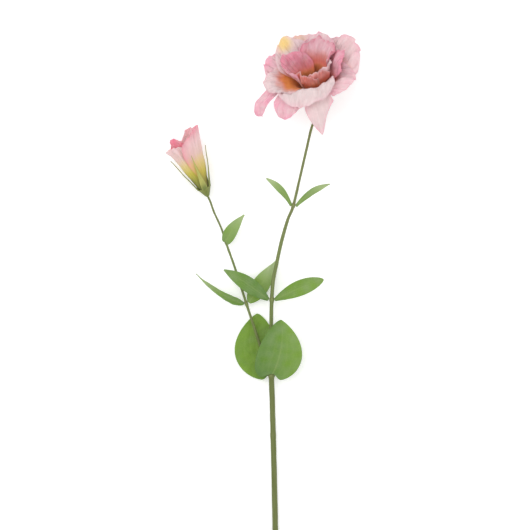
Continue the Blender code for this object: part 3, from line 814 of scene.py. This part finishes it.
mainStem = {
    "route": [
        (4.0, -186.0, 2.3), (3.6, -150.0, 2.6), (3.0, -120.0, 3.5), (1.9, -70.0, 5.2), (0.6, -20.0, 6.6),
        (0.0, 0.0, 7.0), (-0.2, 36.8, 8.2), (0.2, 60.8, 9.0), (1.5, 76.8, 9.4), (4.7, 92.8, 9.8),
        (8.3, 108.8, 10.2), (12.9, 124.8, 10.7), (17.4, 136.0, 11.0), (22.3, 156.8, 11.0),
        (27.0, 177.0, 10.4), (31.6, 196.8, 9.8), (35.2, 208.0, 9.7),
    ],
    "radii": [(-186.0, 2.3), (0.0, 2.1), (12.0, 1.6), (110.0, 1.4), (145.0, 1.0)],
    "joints": [(-128.0, 0.25), (-48.0, 0.3), (0.0, 0.6), (60.8, 0.6), (136.3, 0.55)],
    "slant": 40.0,
}
budStem = {
    "route": [(-3.8, 4.0, 7.0), (-6.2, 12.0, 7.0), (-9.6, 25.6, 6.9), (-19.5, 55.7, 6.6), (-28.7, 84.6, 6.4),
              (-36.5, 106.6, 6.2), (-40.2, 118.1, 6.0), (-46.0, 131.0, 5.6)],
    "radii": [(0.0, 1.2), (120.0, 0.8)],
    "joints": [(57.5, 0.4), (107.0, 0.4)],
    "slant": 0.0,
}


stemSkin = {
    "steps": 26,
    "sides": 20,
    "straight": 5.0,      # the last stretch under the cup follows the flower's axis
    "swellLength": 1.6,   # of the thicker ring at a joint
    "scarAbove": 1.8,     # a brown line just above the joint
    "scarLength": 0.5,
    "bumps": 0.06,
}


def makeStem(name, stem, head):
    # rings round a smooth route, with ridges, a swelling at each joint and a slanting cut at the foot
    axis = unit(head["axis"])
    top = np.array(head["seat"]) - (head["cupDepth"] + head["gap"]) * axis
    sides = stemSkin["sides"]
    middle = smoothRoute([*stem["route"], top - stemSkin["straight"] * axis, top], stemSkin["steps"])
    y = middle[:, 1]
    radii = np.interp(y, *np.array(stem["radii"]).T)
    swell = sum(size * np.exp(-((y - place) / stemSkin["swellLength"]) ** 2)
                for place, size in stem["joints"])
    scar = sum(np.exp(-((y - place - stemSkin["scarAbove"]) / stemSkin["scarLength"]) ** 2)
               for place, _ in stem["joints"])
    turn = np.linspace(0, 2 * np.pi, sides, endpoint=False)
    ridges = 1.0 + 0.035 * np.cos(4 * turn + 0.5)[None, :] + 0.015 * np.cos(9 * turn)[None, :]
    rings, forward = rodRings(middle, (radii + swell)[:, None] * ridges, sides)
    bumps = stemSkin["bumps"] * waveNoise(rings, crumpleWaves)[..., None]
    rings = rings + bumps * unit(rings - middle[:, None])
    rings[0] -= math.tan(math.radians(stem["slant"])) * radii[0] * np.cos(turn)[:, None] * forward[0]
    green = smooth((y - 10) / 40) * (1.0 - smooth((y - 95) / 40)) * 0.7
    masks = {"green": green[:, None], "pale": (0.16 * smooth((y + 40) / 200) + 0.2 * swell)[:, None],
             "brown": (0.5 * scar)[:, None], "cut": np.where(np.arange(len(y)) == 0, 0.6, 0.0)[:, None]}
    rodPiece(name, rings, masks, stemFinish)


makeStem("main_stem", mainStem, flower)
makeStem("bud_stem", budStem, bud)
print("stems ready")


# leaves

def leaf(base, tip, width, across, **more):
    made = {
        "base": base, "tip": tip, "width": width, "across": across, "arch": (0.0, 0.0, 2.0),
        "widest": 0.45, "full": 2.1, "fold": 0.15, "lobe": 0.0, "dense": 1.0, "wave": 0.35,
        # side makes one half of a leaf deeper green than the other: painted shade
        "tone": 0.45, "side": 0.0, "bloom": 0.15, "pale": 0.0, "crease": 0.25,
    }
    made.update(more)
    return made


leaves = [
    leaf((-1.0, 1.0, 4.1), (-11.6, 49.6, 1.4), 19, (1.0, 0.1, 0.0), arch=(-6.0, 0.0, -1.2),
         widest=0.33, full=1.15, fold=0.03, lobe=3.5, dense=1.7, tone=0.12, bloom=0.0, wave=0.3),
    # leaf 2's side darkens one half: painted shade of the folded leaf
    leaf((1.0, 1.5, 9.9), (7.6, 44.8, 15.0), 18, (1.0, -0.1, 0.0), arch=(3.5, 0.0, 3.0),
         widest=0.33, full=1.15, fold=0.12, lobe=4.5, dense=1.7, tone=0.5, bloom=0.12, side=-0.35,
         crease=0.5),
    leaf((2.6, 61.0, 9.2), (41.6, 77.2, 13.0), 6.4, (-0.35, 1.0, 0.2), arch=(-0.5, 1.0, 5.0),
         widest=0.56, full=1.8, tone=0.35, bloom=0.1, pale=0.15),
    leaf((-2.4, 61.0, 9.6), (-38.1, 85.0, 14.0), 6.2, (0.55, 1.0, 0.2), arch=(0.0, 1.5, 4.0), tone=0.72,
         bloom=0.08, pale=0.2),
    leaf((-22.0, 57.6, 6.8), (-60.6, 81.8, 6.5), 4.4, (0.3, 0.6, 0.75), arch=(-1.0, -2.4, 1.0),
         widest=0.26, full=2.6, tone=0.5, bloom=0.05, pale=0.9),
    leaf((-18.2, 58.6, 6.2), (3.5, 92.0, 4.0), 7.2, (0.83, -0.55, 0.0), arch=(0.5, 0.0, -0.6),
         widest=0.38, fold=0.05, tone=0.0, bloom=0.1, pale=1.0),
    leaf((-36.8, 107.4, 7.8), (-21.8, 129.1, 10.5), 5.2, (0.8, -0.55, 0.0), arch=(-1.0, 0.5, 2.0),
         widest=0.30, full=1.8, lobe=1.5, dense=1.4, tone=0.3, bloom=0.25, pale=0.7),
    leaf((15.8, 136.6, 11.2), (-4.2, 158.1, 14.0), 2.8, (0.7, 0.7, 0.3), arch=(1.4, 1.9, 3.0),
         widest=0.56, full=2.6, tone=0.5, bloom=0.25, pale=0.8),
    leaf((19.7, 136.0, 11.2), (46.8, 153.6, 14.5), 2.7, (-0.5, 0.8, 0.3), arch=(-1.0, 2.4, 3.0),
         widest=0.52, full=2.8, tone=0.5, bloom=0.25, pale=0.8),
]
leafSkin = {
    "grid": (80, 48),
    "root": 1.2,         # half width at the foot, and below at the tip
    "tip": 0.5,
    "laterals": ((0.36, 0.6), (0.68, 0.35)),  # side veins: place across the half leaf, and strength
    "crumple": 0.25,
    "thinnest": 0.14,    # half the thickness at the margin
    "thicker": 0.16,     # added to it at the midrib
    "rib": 0.3,
    # tone added at the foot of each leaf: painted shade
    "paintedFootShade": 0.4,
}


def makeLeaf(name, one):
    # a midrib that is a shallow arch, with the sides u * reach(t) out, folded up and waved at the edge
    base, tip, arch = (np.array(one[key], float) for key in ("base", "tip", "arch"))
    rows, columns = leafSkin["grid"]
    u, t = np.meshgrid(np.linspace(-1, 1, columns + 1), np.linspace(0, 1, rows + 1) ** one["dense"])
    widest, full = one["widest"], one["full"]
    outline = (t / widest) ** (full * widest) * ((1 - t) / (1 - widest)) ** (full * (1 - widest))
    root = leafSkin["root"] + (leafSkin["tip"] - leafSkin["root"]) * t
    reach = np.abs(u) * (root + (one["width"] - root) * outline)
    length = np.linalg.norm(tip - base)
    back = one["lobe"] / length * np.abs(u) * smooth(2.0 * reach / one["width"]) * (1.0 - t) ** 3
    place = (t - back)[..., None]
    midrib = base + (tip - base) * place + 4.0 * arch * place * (1.0 - place)
    along = unit(tip - base)
    across = unit(np.array(one["across"]) - np.dot(one["across"], along) * along)
    normal = np.cross(across, along)
    facing = 1.0 if normal[2] > 0 else -1.0
    normal = facing * normal
    side = np.sign(u) * reach
    points = midrib + side[..., None] * across
    ribWidth = 0.35 + 0.5 * (1.0 - t)
    groove = np.exp(-(side / ribWidth) ** 2) * (1.0 - 0.7 * t)
    laterals = sum(np.exp(-((np.abs(u) - spot * (1.0 - 0.35 * t)) * one["width"] / 0.55) ** 2) * strength
                   for spot, strength in leafSkin["laterals"])
    laterals = laterals * smooth(t / 0.1) * smooth((0.95 - t) / 0.3)
    rise = one["fold"] * reach - one["crease"] * groove - 0.12 * laterals
    rise = rise + one["wave"] * (np.abs(u) ** 2) * np.sin(11 * t + 2.0 * np.sign(u) + length)
    rise = rise + leafSkin["crumple"] * waveNoise(points, crumpleWaves) * smooth(reach / 3.0)
    points = settle(points + rise[..., None] * normal)
    if facing < 0:  # keep the upper face on the side that faces up
        points, u, t, groove, laterals = (a[:, ::-1] for a in (points, u, t, groove, laterals))
    blotch = waveNoise(points, blotchWaves)
    masks = {
        "vein": np.clip(groove + 0.55 * laterals, 0, 1),
        # tone: the leaf's own green, deeper at the foot and, through side, on one half; both of these are
        # painted shade
        "tone": np.clip(one["tone"] + one["side"] * u + leafSkin["paintedFootShade"] * np.exp(-t / 0.12)
                        + 0.10 * blotch, 0, 1),
        "bloom": np.clip(one["bloom"] + one["pale"] * smooth((t - 0.3) / 0.7) + 0.08 * blotch, 0, 1),
    }
    half = leafSkin["thinnest"] + leafSkin["thicker"] * (1.0 - np.abs(u)) + leafSkin["rib"] * groove
    uv = np.stack([0.5 + 0.5 * u, t], axis=-1)
    sheetPiece(name, points, half, uv, masks, leafFinish)


for number, one in enumerate(leaves, 1):
    makeLeaf(f"leaf_{number}", one)
print("leaves ready")


# table, light and camera

view = {
    "middle": (-5.2, 88.8),   # what the camera looks straight down on, in layout millimetres
    "height": 424.0,          # what the picture shows from top to bottom at that height
    "above": 2200.0,
    "level": 14.0,            # height above the table at which the scale is exact
}
keyLight = {"name": "key", "place": (-0.7, 0.6, 1.7), "turn": (-19, -22, 0), "size": 2.0, "power": 17.0}
fillLight = {"name": "fill", "place": (1.1, -0.5, 1.3), "turn": (20, 40, 0), "size": 1.6, "power": 6.0}
worldStrength = 0.75
tableLook = {
    "size": 8.0,          # half its side, in metres
    "below": 0.0002,
    "glow": 0.22,
    "pale": (0.95, 0.95, 0.95),
    "grain": (0.93, 0.93, 0.93),
}


def makeTable():
    mesh = bpy.data.meshes.new("table")
    size, lower = tableLook["size"], -tableLook["below"]
    mesh.from_pydata([(-size, -size, lower), (size, -size, lower), (size, size, lower), (-size, size, lower)],
                     [], [(0, 1, 2, 3)])
    finish = Finish("pale table", Roughness=0.85, Specular_IOR_Level=0.1,
                    Emission_Strength=tableLook["glow"], Emission_Color=(1.0, 1.0, 1.0, 1.0))
    grain = finish.noise(3.0, 2.0)
    finish.feed(Base_Color=finish.mix((0.5 + grain * 0.2).limited(), tableLook["grain"], tableLook["pale"]))
    mesh.materials.append(finish.material)
    table = bpy.data.objects.new("table", mesh)
    bpy.context.scene.collection.objects.link(table)


def makeLight(name, place, turn, size, power):
    light = bpy.data.lights.new(name, "AREA")
    light.size, light.energy = size, power
    lamp = bpy.data.objects.new(name, light)
    lamp.location = place
    lamp.rotation_euler = [math.radians(angle) for angle in turn]
    bpy.context.scene.collection.objects.link(lamp)


def makeCamera():
    data = bpy.data.cameras.new("camera")
    camera = bpy.data.objects.new("camera", data)
    bpy.context.scene.collection.objects.link(camera)
    x, y = np.array(view["middle"]) * mm + layoutZero[:2]
    camera.location = (x, y, (view["above"] + view["level"]) * mm)
    data.sensor_width = 36.0
    data.lens = data.sensor_width * view["above"] / view["height"]
    data.clip_end = 50.0
    bpy.context.scene.camera = camera


makeTable()
makeLight(**keyLight)
makeLight(**fillLight)
world = bpy.data.worlds.new("studio")
world.use_nodes = True
world.node_tree.nodes["Background"].inputs["Color"].default_value = (1.0, 1.0, 1.0, 1.0)
world.node_tree.nodes["Background"].inputs["Strength"].default_value = worldStrength
bpy.context.scene.world = world
bpy.context.scene.view_settings.view_transform = "Standard"
makeCamera()
print("table, lights and camera ready")
